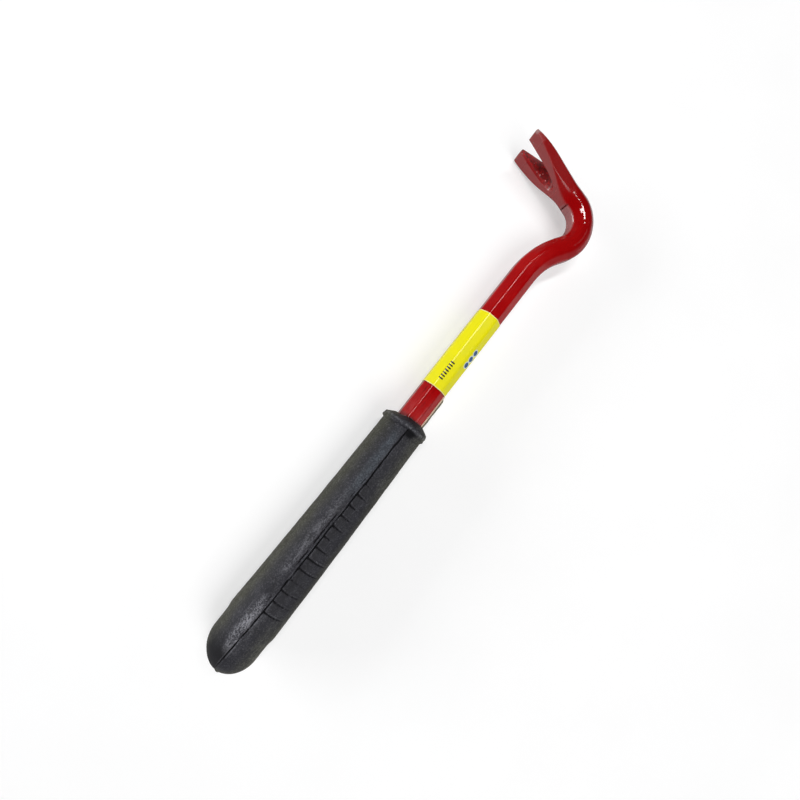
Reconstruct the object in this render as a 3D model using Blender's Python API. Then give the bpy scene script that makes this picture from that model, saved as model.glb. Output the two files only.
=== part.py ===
"""Nail puller: one forged octagonal bar with a gooseneck and a V-notched claw,
a rubber grip pushed over its shank, a wrapped label and a paper sticker.

It lies on its side. X runs along the shank from the butt to the claw, the gooseneck bends in
the level plane, and the claw opens towards +Y. The origin is under the middle of its bounding
box, at the height of the surface that it lies on.
"""
import bpy
import bmesh
from math import cos, pi, radians, sin, tau
from mathutils import Vector

MM = 0.001

# Steel bar
BAR_FLATS = 15.0 * MM            # across the flats of the octagon
BAR_CORNER_RADIUS = 1.0 * MM     # rolled rounding of the eight corners
BAR_END_CHAMFER = 1.2 * MM       # sawn end, inside the grip
NECK_RADIUS = 49.5 * MM          # first bend, on the centre line
NECK_TURN = radians(31.5)
NECK_STRAIGHT = 4.2 * MM         # between the two bends
HEEL_RADIUS = 18.1 * MM          # second bend, on the centre line
HEEL_TURN = radians(106.0)
CLAW_LENGTH = 46.4 * MM          # along the flat inner face
CLAW_WIDTH = 28.7 * MM           # across both prongs at the tips
CLAW_TIP_THICKNESS = 2.0 * MM
CLAW_FLARE_START = 6.0 * MM      # from the second bend to where the claw widens
CLAW_TIP_STRAIGHT = 0.9 * MM     # parallel sides before the tips
CLAW_FLATS_START = 3.7 * MM      # from the second bend to where the inner slanted flats narrow
CLAW_FLATS_FADE = 25.1 * MM      # length over which they narrow to CLAW_FACE_CHAMFER
CLAW_BACK_BULGE = 1.4 * MM       # how far the back stands out of a straight taper
CLAW_BACK_CHAMFER = 0.4 * MM     # what is left of the octagon's slanted flats at the tips
CLAW_FACE_CHAMFER = 0.3 * MM

# Notch between the prongs
NOTCH_TIP_GAP = 12.0 * MM        # at the tips, on the inner face
NOTCH_WAIST_GAP = 10.8 * MM      # at the middle of its depth
NOTCH_ROOT_GAP = 7.0 * MM        # just before the rounded root
NOTCH_WAIST = 13.0 * MM          # from the root to the waist, on the inner face
NOTCH_ROOT_ROUND = 3.1 * MM      # length of the rounded root
NOTCH_DEPTH = 31.0 * MM          # from the tips to the root, on the inner face
NOTCH_BEVEL = 1.2 * MM           # bevel of its edges, on the inner face
NOTCH_WALL_SLOPE = 0.33          # how fast the walls close below the bevel
NOTCH_ROOT_SLOPE = 0.75          # how far the root slants to the tips, over the depth
NOTCH_LEAST_HALF_GAP = 0.7 * MM

# Rubber grip
GRIP_BUTT_WALL = 12.0 * MM       # rubber behind the end of the bar
GRIP_BORE_DEPTH = 157.5 * MM
GRIP_DOME_LENGTH = 17.7 * MM
GRIP_DOME_RADIUS = 14.75 * MM
GRIP_DOME_POINT = 0.77           # under 1 makes the dome more pointed
GRIP_SHOULDER_START = 27.0 * MM
GRIP_SHOULDER_LENGTH = 6.0 * MM
GRIP_REAR_RADIUS = 15.4 * MM
GRIP_FRONT_RADIUS = 13.2 * MM    # just behind the collar
COLLAR_RADIUS = 14.1 * MM
COLLAR_LENGTH = 9.5 * MM
COLLAR_RISE = 3.8 * MM           # from the collar's start to its crest
COLLAR_LIP = 1.75 * MM           # rubber round the bar's corners at the mouth
GRIP_CLEARANCE = 0.3 * MM
GROOVE_COUNT = 13
GROOVE_PITCH = 6.8 * MM
GROOVE_FIRST = 45.0 * MM         # first groove, from the butt
GROOVE_WIDTH = 1.5 * MM
GROOVE_DEPTH = 0.8 * MM
GROOVE_FADE = radians(12)        # run-out beside the mould's parting line

# Stickers
LABEL_LENGTH = 53.7 * MM
LABEL_THICKNESS = 0.25 * MM
LABEL_SEAM = 1.0 * MM            # gap between its two ends, under the bar
BARE_BEHIND_LABEL = 22.4 * MM    # shank that shows between the grip and the label
BARE_AHEAD_OF_LABEL = 34.0 * MM  # shank between the label and the first bend
STICKER_CLEARANCE = 0.3 * MM     # under the label and the paper sticker
STICKER_THICKNESS = 0.3 * MM
STICKER_OVERHANG = 1.9 * MM      # free edge that stands off the bar

# How finely the round shapes are divided
CORNER_STEPS = 2
NECK_STEPS = 8
HEEL_STEPS = 18
CLAW_STEPS = 16
NOTCH_ROOT_STEPS = 3
GRIP_SEGMENTS = 32
DOME_STEPS = 11
SHOULDER_STEPS = 3
COLLAR_RISE_STEPS = 3
COLLAR_MOUTH_STEPS = 5
CORNER_REACH = 0.45              # most of a side that one rounded corner may take
SMOOTH_ANGLE = radians(28)       # sharper edges stay sharp

HALF_FLATS = BAR_FLATS / 2
OCTAGON_CUT = HALF_FLATS * (2 - 2 ** 0.5)     # corner cut that makes a square an octagon
GRIP_LENGTH = GRIP_BUTT_WALL + GRIP_BORE_DEPTH
GRIP_BORE_HALF = HALF_FLATS + GRIP_CLEARANCE
COLLAR_START = GRIP_LENGTH - COLLAR_LENGTH
COLLAR_CREST = COLLAR_START + COLLAR_RISE
COLLAR_MOUTH_RADIUS = GRIP_BORE_HALF / cos(pi / 8) + COLLAR_LIP
SHOULDER_END = GRIP_SHOULDER_START + GRIP_SHOULDER_LENGTH
LABEL_START = GRIP_LENGTH + BARE_BEHIND_LABEL
NECK_START = LABEL_START + LABEL_LENGTH + BARE_AHEAD_OF_LABEL


def smoothstep(value, start=0.0, end=1.0):
    t = min(max((value - start) / (end - start), 0.0), 1.0)
    return t * t * (3 - 2 * t)


def mix(a, b, t):
    return a + (b - a) * t


def clear_scene():
    for obj in list(bpy.data.objects):
        bpy.data.objects.remove(obj, do_unlink=True)


def material(name, colour, roughness, metallic=0.0, coat=0.0):
    mat = bpy.data.materials.new(name)
    mat.use_nodes = True
    shader = mat.node_tree.nodes["Principled BSDF"]
    shader.inputs["Base Color"].default_value = (*colour, 1.0)
    shader.inputs["Roughness"].default_value = roughness
    shader.inputs["Metallic"].default_value = metallic
    shader.inputs["Coat Weight"].default_value = coat
    mat.diffuse_color = (*colour, 1.0)
    return mat


def new_object(name, bm, mat, parent):
    bmesh.ops.recalc_face_normals(bm, faces=bm.faces)
    mesh = bpy.data.meshes.new(name)
    bm.to_mesh(mesh)
    bm.free()
    mesh.materials.append(mat)
    mesh.shade_smooth()
    mesh.set_sharp_from_angle(angle=SMOOTH_ANGLE)
    obj = bpy.data.objects.new(name, mesh)
    obj.parent = parent
    bpy.context.collection.objects.link(obj)
    return obj


def loft(bm, rings):
    """Skins closed rings of equal counts and caps both ends."""
    rows = [[bm.verts.new(point) for point in ring] for ring in rings]
    count = len(rows[0])
    for near, far in zip(rows, rows[1:]):
        for i in range(count):
            j = (i + 1) % count
            bm.faces.new((near[i], near[j], far[j], far[i]))
    bm.faces.new(rows[0])
    bm.faces.new(rows[-1])
    return rows


def rounded_corners(corners, radius, steps):
    """Rounds each corner of a convex outline of 2D points."""
    points = []
    count = len(corners)
    for i, corner in enumerate(corners):
        to_last = corners[i - 1] - corner
        to_next = corners[(i + 1) % count] - corner
        half_angle = to_last.angle(to_next) / 2
        reach = radius * cos(half_angle) / sin(half_angle)
        reach = min(reach, CORNER_REACH * to_last.length, CORNER_REACH * to_next.length)
        first = corner + to_last.normalized() * reach
        last = corner + to_next.normalized() * reach
        for k in range(steps + 1):
            t = k / steps
            points.append(first * (1 - t) ** 2 + corner * 2 * t * (1 - t) + last * t ** 2)
    return points


def bar_section(face, back, half_width, face_cut, back_cut):
    """Octagon in (offset, height): offset is towards the inside of the second bend."""
    corners = [
        Vector((face, half_width - face_cut)), Vector((face - face_cut, half_width)),
        Vector((back + back_cut, half_width)), Vector((back, half_width - back_cut)),
        Vector((back, -half_width + back_cut)), Vector((back + back_cut, -half_width)),
        Vector((face - face_cut, -half_width)), Vector((face, -half_width + face_cut)),
    ]
    return rounded_corners(corners, BAR_CORNER_RADIUS, CORNER_STEPS)


def place_section(section, x, y, heading):
    side = Vector((-sin(heading), cos(heading)))
    return [Vector((x + side.x * offset, y + side.y * offset, height)) for offset, height in section]


def claw_thickness(along):
    """Thickness at a distance from where the claw leaves the second bend."""
    v = along / CLAW_LENGTH
    return mix(BAR_FLATS, CLAW_TIP_THICKNESS, v) + CLAW_BACK_BULGE * 4 * v * (1 - v)


def claw_half_width(along):
    flare = smoothstep(along, CLAW_FLARE_START, CLAW_LENGTH - CLAW_TIP_STRAIGHT)
    return mix(HALF_FLATS, CLAW_WIDTH / 2, flare)


def claw_section(along):
    fade = smoothstep(along, CLAW_FLATS_START, CLAW_FLATS_START + CLAW_FLATS_FADE)
    face_cut = mix(OCTAGON_CUT, CLAW_FACE_CHAMFER, fade)
    back_cut = mix(OCTAGON_CUT, CLAW_BACK_CHAMFER, along / CLAW_LENGTH)
    face = HALF_FLATS
    return bar_section(face, face - claw_thickness(along), claw_half_width(along), face_cut, back_cut)


class BarPath:
    """Centre line of the bar in the level plane, walked from the butt to the claw."""

    def __init__(self):
        self.x = 0.0
        self.y = 0.0
        self.heading = 0.0

    def straight(self, length):
        self.x += length * cos(self.heading)
        self.y += length * sin(self.heading)

    def turn(self, radius, angle):
        """Positive angles turn to the left, towards +Y."""
        side = 1 if angle > 0 else -1
        centre_x = self.x - side * radius * sin(self.heading)
        centre_y = self.y + side * radius * cos(self.heading)
        self.heading += angle
        self.x = centre_x + side * radius * sin(self.heading)
        self.y = centre_y - side * radius * cos(self.heading)

    def ring(self, section):
        return place_section(section, self.x, self.y, self.heading)


def bar_rings():
    """Rings of the bar from its sawn end to the tips, and the claw's own frame."""
    octagon = bar_section(HALF_FLATS, -HALF_FLATS, HALF_FLATS, OCTAGON_CUT, OCTAGON_CUT)
    small = [point * (1 - BAR_END_CHAMFER / HALF_FLATS) for point in octagon]
    path = BarPath()
    path.straight(GRIP_BUTT_WALL + GRIP_CLEARANCE)
    rings = [path.ring(small)]
    path.straight(BAR_END_CHAMFER)
    rings.append(path.ring(octagon))
    for station in (GRIP_LENGTH, LABEL_START, LABEL_START + LABEL_LENGTH, NECK_START):
        path.straight(station - path.x)
        rings.append(path.ring(octagon))
    for _ in range(NECK_STEPS):
        path.turn(NECK_RADIUS, -NECK_TURN / NECK_STEPS)
        rings.append(path.ring(octagon))
    path.straight(NECK_STRAIGHT)
    rings.append(path.ring(octagon))
    for _ in range(HEEL_STEPS):
        path.turn(HEEL_RADIUS, HEEL_TURN / HEEL_STEPS)
        rings.append(path.ring(octagon))
    claw_start = Vector((path.x, path.y))
    step = CLAW_LENGTH / CLAW_STEPS
    for k in range(CLAW_STEPS):
        path.straight(step)
        rings.append(path.ring(claw_section(step * (k + 1))))
    return rings, claw_start, path.heading


def notch_outline(depth):
    """Outline of the notch at a depth below the inner face, as (along, height) points.

    along is measured from where the claw leaves the second bend.
    """
    below = max(depth, 0.0)
    inset = min(below, NOTCH_BEVEL) + max(below - NOTCH_BEVEL, 0.0) * NOTCH_WALL_SLOPE
    root = CLAW_LENGTH - NOTCH_DEPTH + below * NOTCH_ROOT_SLOPE

    def half_gap(gap):
        return max(gap / 2 - inset, NOTCH_LEAST_HALF_GAP)

    half = [
        (CLAW_LENGTH + NOTCH_TIP_GAP, half_gap(NOTCH_TIP_GAP)),
        (CLAW_LENGTH, half_gap(NOTCH_TIP_GAP)),
        (mix(root, CLAW_LENGTH, NOTCH_WAIST / NOTCH_DEPTH), half_gap(NOTCH_WAIST_GAP)),
    ]
    for k in range(NOTCH_ROOT_STEPS):
        angle = pi / 2 * k / NOTCH_ROOT_STEPS
        along = root + NOTCH_ROOT_ROUND * (1 - sin(angle))
        half.append((along, half_gap(NOTCH_ROOT_GAP) * cos(angle)))
    return half + [(root, 0.0)] + [(along, -height) for along, height in reversed(half)]


def notch_cutter(claw_start, heading, parent):
    """Solid of the notch, from in front of the inner face to behind the claw's back."""
    along = Vector((cos(heading), sin(heading), 0.0))
    inwards = Vector((sin(heading), -cos(heading), 0.0))
    face_start = Vector((*claw_start, 0.0)) - inwards * HALF_FLATS
    bm = bmesh.new()
    rings = []
    for depth in (-HALF_FLATS, 0.0, NOTCH_BEVEL, BAR_FLATS + HALF_FLATS):
        rings.append([
            face_start + along * a + inwards * depth + Vector((0, 0, height))
            for a, height in notch_outline(depth)
        ])
    loft(bm, rings)
    cutter = new_object("notch_cutter", bm, material("cutter", (0.5, 0.5, 0.5), 0.5), parent)
    cutter.hide_render = True
    cutter.display_type = "WIRE"
    return cutter


def forged_bar(parent):
    paint = material("red_paint", (0.45, 0.01, 0.015), 0.22, 0.0, 0.6)
    rings, claw_start, heading = bar_rings()
    bm = bmesh.new()
    loft(bm, rings)
    bar = new_object("forged_bar", bm, paint, parent)
    cut = bar.modifiers.new("notch", "BOOLEAN")
    cut.operation = "DIFFERENCE"
    cut.solver = "EXACT"
    cut.object = notch_cutter(claw_start, heading, parent)
    return bar


def grip_radius(x):
    """Outer radius of the grip at a distance from the butt, without its grooves."""
    if x <= GRIP_DOME_LENGTH:
        return GRIP_DOME_RADIUS * sin(pi / 2 * (x / GRIP_DOME_LENGTH) ** GRIP_DOME_POINT)
    if x <= SHOULDER_END:
        t = smoothstep(x, GRIP_SHOULDER_START, SHOULDER_END)
        return mix(GRIP_DOME_RADIUS, GRIP_REAR_RADIUS, t)
    taper = min((x - SHOULDER_END) / (COLLAR_START - SHOULDER_END), 1.0)
    radius = mix(GRIP_REAR_RADIUS, GRIP_FRONT_RADIUS, taper)
    if x <= COLLAR_CREST:
        return mix(radius, COLLAR_RADIUS, smoothstep(x, COLLAR_START, COLLAR_CREST))
    t = (x - COLLAR_CREST) / (GRIP_LENGTH - COLLAR_CREST)
    return mix(COLLAR_MOUTH_RADIUS, COLLAR_RADIUS, (1 - t ** 2) ** 0.5)


def groove_depth(angle):
    """Depth of a finger groove: full on the -Y side, none past the parting lines."""
    from_top = (angle - pi / 2) % tau
    if from_top < pi:
        return GROOVE_DEPTH * smoothstep(min(from_top, pi - from_top), 0.0, GROOVE_FADE)
    return 0.0


def round_ring(x, radius, cut=0.0):
    points = []
    for i in range(GRIP_SEGMENTS):
        angle = tau * i / GRIP_SEGMENTS
        r = radius - groove_depth(angle) * cut
        points.append(Vector((x, r * cos(angle), r * sin(angle))))
    return points


def octagon_ring(x, half_flats):
    """Octagon with the same number of points as the round rings, for the bore."""
    points = []
    for i in range(GRIP_SEGMENTS):
        angle = tau * i / GRIP_SEGMENTS
        from_flat = (angle + pi / 8) % (pi / 4) - pi / 8
        r = half_flats / cos(from_flat)
        points.append(Vector((x, r * cos(angle), r * sin(angle))))
    return points


def grip_stations():
    """Distances from the butt at which the grip gets a ring, with the groove's share there."""
    plain = [GRIP_DOME_LENGTH * ((k + 1) / DOME_STEPS) ** 2 for k in range(DOME_STEPS)]
    plain += [mix(GRIP_SHOULDER_START, SHOULDER_END, k / SHOULDER_STEPS) for k in range(SHOULDER_STEPS + 1)]
    plain += [mix(COLLAR_START, COLLAR_CREST, k / COLLAR_RISE_STEPS) for k in range(COLLAR_RISE_STEPS + 1)]
    for k in range(COLLAR_MOUTH_STEPS):
        angle = pi / 2 * (k + 1) / COLLAR_MOUTH_STEPS
        plain.append(mix(COLLAR_CREST, GRIP_LENGTH, sin(angle)))
    stations = [(x, 0.0) for x in plain]
    for k in range(GROOVE_COUNT):
        middle = GROOVE_FIRST + GROOVE_PITCH * k
        stations += [(middle - GROOVE_WIDTH / 2, 0.0), (middle, 1.0), (middle + GROOVE_WIDTH / 2, 0.0)]
    return sorted(stations)


def rubber_grip(parent):
    rubber = material("black_rubber", (0.035, 0.037, 0.038), 0.55)
    bm = bmesh.new()
    rings = [round_ring(x, grip_radius(x), cut) for x, cut in grip_stations()]
    rings.append(octagon_ring(GRIP_LENGTH, GRIP_BORE_HALF))
    rings.append(octagon_ring(GRIP_BUTT_WALL, GRIP_BORE_HALF))
    loft(bm, rings)
    return new_object("rubber_grip", bm, rubber, parent)


def wrap_outline(offset):
    """Line round the octagon at an offset, open at the seam under the bar, as (y, z) points."""
    half = HALF_FLATS + offset
    cut = half * (2 - 2 ** 0.5)
    corners = [
        (half - cut, -half), (half, -half + cut), (half, half - cut), (half - cut, half),
        (-half + cut, half), (-half, half - cut), (-half, -half + cut), (-half + cut, -half),
    ]
    rounded = rounded_corners([Vector(c) for c in corners], BAR_CORNER_RADIUS + offset, CORNER_STEPS)
    seam = LABEL_SEAM / 2
    return [Vector((seam, -half))] + rounded + [Vector((-seam, -half))]


def prism(name, outline, start, length, mat, parent):
    """Solid of one closed (y, z) outline, run along X."""
    bm = bmesh.new()
    loft(bm, [[Vector((x, y, z)) for y, z in outline] for x in (start, start + length)])
    return new_object(name, bm, mat, parent)


def wrap_label(parent):
    foil = material("yellow_label", (0.84, 0.78, 0.02), 0.3)
    inner = wrap_outline(STICKER_CLEARANCE)
    outer = wrap_outline(STICKER_CLEARANCE + LABEL_THICKNESS)
    return prism("wrap_label", outer + inner[::-1], LABEL_START, LABEL_LENGTH, foil, parent)


def paper_sticker(parent):
    """Sticker on the lower flats of the bar, whose long edge stands off the corner on the -Y side."""
    paper = material("pale_paper", (0.62, 0.48, 0.38), 0.7)

    def line(offset):
        half = HALF_FLATS + offset
        cut = half * (2 - 2 ** 0.5)
        free = STICKER_OVERHANG
        return [
            Vector((half - cut, -half)),
            Vector((-half + cut, -half)),
            Vector((-half - free, -half + cut + free)),
        ]

    outline = line(STICKER_CLEARANCE + STICKER_THICKNESS) + line(STICKER_CLEARANCE)[::-1]
    start = GRIP_LENGTH + STICKER_CLEARANCE
    length = LABEL_START - STICKER_CLEARANCE - start
    return prism("paper_sticker", outline, start, length, paper, parent)


def set_on_surface(frame, solids):
    """Moves the frame so that the origin lies under the middle of the bounding box."""
    bpy.context.view_layer.update()
    corners = [Vector(v.co) for obj in solids for v in obj.data.vertices]
    low = Vector([min(c[i] for c in corners) for i in range(3)])
    high = Vector([max(c[i] for c in corners) for i in range(3)])
    frame.location = (-(low.x + high.x) / 2, -(low.y + high.y) / 2, -low.z)


def main():
    clear_scene()
    frame = bpy.data.objects.new("puller_frame", None)
    bpy.context.collection.objects.link(frame)
    solids = [forged_bar(frame), rubber_grip(frame), wrap_label(frame), paper_sticker(frame)]
    set_on_surface(frame, solids)


main()
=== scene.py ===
from math import cos, exp, floor, pi, radians, sin, sqrt, tan, tau

import bmesh
import bpy
from mathutils import Matrix, Vector, noise


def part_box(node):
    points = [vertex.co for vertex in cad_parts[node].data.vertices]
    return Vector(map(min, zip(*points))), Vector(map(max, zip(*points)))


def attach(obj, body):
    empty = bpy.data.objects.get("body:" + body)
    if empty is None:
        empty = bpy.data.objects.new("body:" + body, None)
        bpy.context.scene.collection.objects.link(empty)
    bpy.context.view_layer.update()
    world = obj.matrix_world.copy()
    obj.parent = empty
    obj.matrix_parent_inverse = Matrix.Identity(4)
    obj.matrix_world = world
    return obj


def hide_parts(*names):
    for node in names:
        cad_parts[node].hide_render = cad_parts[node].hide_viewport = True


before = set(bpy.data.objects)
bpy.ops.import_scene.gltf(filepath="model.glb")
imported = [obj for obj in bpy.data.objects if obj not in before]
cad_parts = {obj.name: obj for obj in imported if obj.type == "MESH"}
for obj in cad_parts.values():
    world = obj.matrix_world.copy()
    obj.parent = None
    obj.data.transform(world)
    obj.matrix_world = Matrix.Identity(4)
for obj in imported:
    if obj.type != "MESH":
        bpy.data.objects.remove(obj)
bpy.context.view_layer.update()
mm = 0.001                       # lengths are in millimetres, except the studio's
noise.seed_set(3)                # without a seed the bar's unevenness differs from run to run
print("frame loaded:", sorted(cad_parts))

# Places read from the frame

gripLow, gripHigh = [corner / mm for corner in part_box("rubber_grip")]
labelLow, labelHigh = [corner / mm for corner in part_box("wrap_label")]
stickerLow, stickerHigh = [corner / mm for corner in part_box("paper_sticker")]
axisY = (gripLow.y + gripHigh.y) / 2       # the shank's axis
axisZ = (gripLow.z + gripHigh.z) / 2


def mix(a, b, t):
    return a + (b - a) * t


def clamp(value, low=0.0, high=1.0):
    return min(max(value, low), high)


def ease(value, start=0.0, end=1.0):       # soft step from 0 to 1
    t = clamp((value - start) / (end - start))
    return t * t * (3 - 2 * t)


def hump(value, centre, width):
    return exp(-((value - centre) / width) ** 2)


def wobble(x, y=0.0, z=0.0, scale=1.0):
    return noise.noise(Vector((x, y, z)) / scale)


# Shader graphs


class Value:                               # one shader value; arithmetic on it adds Math nodes
    def __init__(self, graph, socket):
        self.graph = graph
        self.socket = socket

    def math(self, operation, *others):
        return self.graph.math(operation, self, *others)

    def __add__(self, other):
        return self.math("ADD", other)

    def __radd__(self, other):
        return self.math("ADD", other)

    def __sub__(self, other):
        return self.math("SUBTRACT", other)

    def __rsub__(self, other):
        return self.graph.math("SUBTRACT", other, self)

    def __mul__(self, other):
        return self.math("MULTIPLY", other)

    def __rmul__(self, other):
        return self.math("MULTIPLY", other)

    def __truediv__(self, other):
        return self.math("DIVIDE", other)

    def __neg__(self):
        return self.math("MULTIPLY", -1.0)

    def __abs__(self):
        return self.math("ABSOLUTE")

    def step(self, low, high):             # soft step from 0 at low to 1 at high
        return self.graph.node(
            "ShaderNodeMapRange", {"interpolation_type": "SMOOTHSTEP"},
            {"Value": self, "From Min": low, "From Max": high})

    def peak(self, centre, width):         # 1 at centre, 0 beyond width on either side
        return 1 - abs(self - centre).step(0.0, width)


class Graph:                               # a node tree of a material or of the world
    def __init__(self, owner):
        owner.use_nodes = True
        self.tree = owner.node_tree

    def feed(self, socket, value):
        if isinstance(value, Value):
            self.tree.links.new(value.socket, socket)
        else:
            socket.default_value = value

    def node(self, kind, settings=None, sockets=None, out=0):
        made = self.tree.nodes.new(kind)
        for name, value in (settings or {}).items():
            setattr(made, name, value)
        for name, value in (sockets or {}).items():
            self.feed(made.inputs[name], value)
        return Value(self, made.outputs[out])

    def math(self, operation, *values):
        return self.node("ShaderNodeMath", {"operation": operation}, dict(enumerate(values)))

    def scaled(self, vector, factors):
        return self.node("ShaderNodeVectorMath", {"operation": "MULTIPLY"}, {0: vector, 1: factors})

    def axes(self, vector):
        split = self.node("ShaderNodeSeparateXYZ", sockets={"Vector": vector})
        outputs = split.socket.node.outputs
        return [Value(self, outputs[axis]) for axis in "XYZ"]

    def grain(self, vector, size, detail=3.0, rough=0.5, twist=0.0):    # 0..1 noise, size in mm
        return self.node(
            "ShaderNodeTexNoise", None,
            {"Vector": vector, "Scale": 1.0 / size, "Detail": detail, "Roughness": rough,
             "Distortion": twist})

    def cells(self, vector, size):         # distance from the nearest of many scattered points
        return self.node("ShaderNodeTexVoronoi", None, {"Vector": vector, "Scale": 1.0 / size})

    def blend(self, factor, first, second):                             # of two colours
        made = self.tree.nodes.new("ShaderNodeMix")
        made.data_type = "RGBA"
        self.feed(made.inputs[0], factor)
        for socket, colour in ((made.inputs[6], first), (made.inputs[7], second)):
            self.feed(socket, colour if isinstance(colour, Value) else (*colour, 1.0))
        return Value(self, made.outputs[2])

    def coats(self, colour, layers, paints):       # lays (share, paint's name) over a colour, in turn
        for share, paint in layers:
            colour = self.blend(share, colour, paints[paint])
        return colour

    def bump(self, height, strength, distance, normal=None):            # distance in mm
        sockets = {"Height": height, "Strength": strength, "Distance": distance * mm}
        if normal:
            sockets["Normal"] = normal
        return self.node("ShaderNodeBump", None, sockets)

    def cameraRay(self):                   # 1 for what the camera itself sees
        return self.node("ShaderNodeLightPath", out="Is Camera Ray")


class Finish(Graph):                       # one material
    def __init__(self, name, **uniform):
        self.material = bpy.data.materials.new(name)
        super().__init__(self.material)
        self.shader = self.tree.nodes["Principled BSDF"]
        for socket, value in uniform.items():
            self.shader.inputs[socket.replace("_", " ")].default_value = value

    def place(self):                       # the surface point in the frame, in millimetres
        here = self.node("ShaderNodeTexCoord", out="Object")
        return self.scaled(here, (1 / mm, 1 / mm, 1 / mm))

    def wear(self, **links):               # what varies over the surface
        for socket, value in links.items():
            self.feed(self.shader.inputs[socket.replace("_", " ")], value)
        return self.material


# Mesh helpers

cornerShare = 0.46                         # most of a side that one rounded corner may take


def cornerCut(half):                       # what makes an octagon of a square with this half width
    return half * (2 - sqrt(2))


def spaced(start, step, count):
    return [start + step * k for k in range(count)]


def softCorner(before, corner, after, radius, steps):
    toBefore = before - corner
    toAfter = after - corner
    if min(toBefore.length, toAfter.length) < 1e-6 or radius < 1e-6:
        return [corner.copy() for _ in range(steps + 1)]
    half = toBefore.angle(toAfter) / 2
    reach = min(radius / tan(half), cornerShare * toBefore.length, cornerShare * toAfter.length)
    first = corner + toBefore.normalized() * reach
    last = corner + toAfter.normalized() * reach
    points = []
    for k in range(steps + 1):
        t = k / steps
        points.append(first * (1 - t) ** 2 + corner * 2 * t * (1 - t) + last * t ** 2)
    return points


def softLine(corners, radii, between, steps):      # open line with its inner corners rounded
    arcs = [[corners[0]]]
    for k, radius in enumerate(radii):
        arcs.append(softCorner(corners[k], corners[k + 1], corners[k + 2], radius, steps))
    arcs.append([corners[-1]])
    points = list(arcs[0])
    for near, far, count in zip(arcs, arcs[1:], between):
        for k in range(count):
            points.append(mix(near[-1], far[0], (k + 1) / (count + 1)))
        points.extend(far)
    return points


def skin(bm, rows, closed):                        # faces between neighbouring rows of points
    made = [[bm.verts.new(point) for point in row] for row in rows]
    count = len(made[0])
    for near, far in zip(made, made[1:]):
        for i in range(count if closed else count - 1):
            j = (i + 1) % count
            bm.faces.new((near[i], near[j], far[j], far[i]))
    return made


def tube(bm, rows):                                # closed rows, with both ends capped
    made = skin(bm, rows, closed=True)
    bm.faces.new(made[0])
    bm.faces.new(made[-1])
    return made


def makePiece(name, bm, finish, cadNode, sharp=34):
    bmesh.ops.recalc_face_normals(bm, faces=bm.faces)
    bm.transform(Matrix.Scale(mm, 4))
    mesh = bpy.data.meshes.new(name)
    bm.to_mesh(mesh)
    bm.free()
    mesh.materials.append(finish)
    mesh.shade_smooth()
    mesh.set_sharp_from_angle(angle=radians(sharp))
    piece = bpy.data.objects.new(name, mesh)
    bpy.context.collection.objects.link(piece)
    evened = piece.modifiers.new("evenNormals", "WEIGHTED_NORMAL")
    evened.keep_sharp = True
    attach(piece, "root")
    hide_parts(cadNode)
    print("piece:", name, len(mesh.polygons), "faces")


# Forged bar

bar = {
    "flats": 15.0,
    "start": 12.3,                 # its sawn end, from the grip's butt
    "neckAhead": 34.0,             # from the label to the first bend
    "neckRadius": 49.5,
    "neckTurn": radians(31.5),
    "neckStraight": 4.2,
    "heelRadius": 18.1,
    "heelTurn": radians(106.0),
    "clawLength": 46.4,
    "clawWidth": 28.7,
    "tipThickness": 2.0,
    "backBulge": 1.4,
    "flareStart": 6.0,
    "tipStraight": 0.9,
    "faceFadeStart": 3.7,
    "faceFade": 25.1,
    "faceChamfer": 0.3,
    "backChamfer": 0.4,
    "shankCorner": 1.7,            # rounding of the octagon's corners
    "heelCorner": 5.5,
    "clawCorner": 0.5,
    "creaseAt": 2.8,               # hammered fold where the claw's flat starts
    "creaseDepth": 0.8,
    "creaseWidth": 0.5,
    "tipGrowth": 0.3,              # how far the tips' worn edge reaches past the solid's
    "unevenness": 0.07,            # of the forged surface
    "unevenSize": 7.0,
    "weld": 0.004,                 # joins its two halves
    "markFlat": 2.0,               # radius of a hammer mark's flat, and of its edge
    "markEdge": 3.0,
    "markReach": 4.5,              # where the top of the surface under a mark is looked for
    "hammerMarks": [               # place along the bends, lean from the top inwards
        {"place": 44.0, "lean": radians(-26.0), "depth": 0.14},
        {"place": 50.5, "lean": radians(150.0), "depth": 0.2},
    ],
}
notch = {
    "tipHalf": 6.0,
    "rootHalf": 3.5,
    "openingLength": 7.0,          # how fast it widens past its root
    "depth": 31.0,
    "rootRound": 3.1,
    "bevel": 1.2,
    "wallSlope": 0.33,
    "rootSlope": 0.75,
    "leastHalf": 0.7,
    "lip": 0.6,
    "backLip": 0.6,
}
halfFlats = bar["flats"] / 2
octagonCut = cornerCut(halfFlats)
neckX = labelHigh.x + bar["neckAhead"]
bends = (
    (-bar["neckRadius"], bar["neckRadius"] * bar["neckTurn"]),
    (0.0, bar["neckStraight"]),
    (bar["heelRadius"], bar["heelRadius"] * bar["heelTurn"]),
    (0.0, bar["clawLength"]),
)
clawStart = sum(length for radius, length in bends[:3])
rootStart = bar["clawLength"] - notch["depth"]


def centreLine(s):                         # s runs along the bar, 0 where the first bend starts
    x, y, heading = neckX, axisY, 0.0
    if s < 0:
        return x + s, y, heading
    for radius, length in bends:
        run = min(s, length)
        if radius:
            turned = heading + run / radius
            x += radius * (sin(turned) - sin(heading))
            y += radius * (cos(heading) - cos(turned))
            heading = turned
        else:
            x += run * cos(heading)
            y += run * sin(heading)
        s -= run
    return x, y, heading


def clawThickness(v):                      # v is 0 where the claw starts and 1 at its tips
    return mix(bar["flats"], bar["tipThickness"], v) + bar["backBulge"] * 4 * v * (1 - v)


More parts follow.
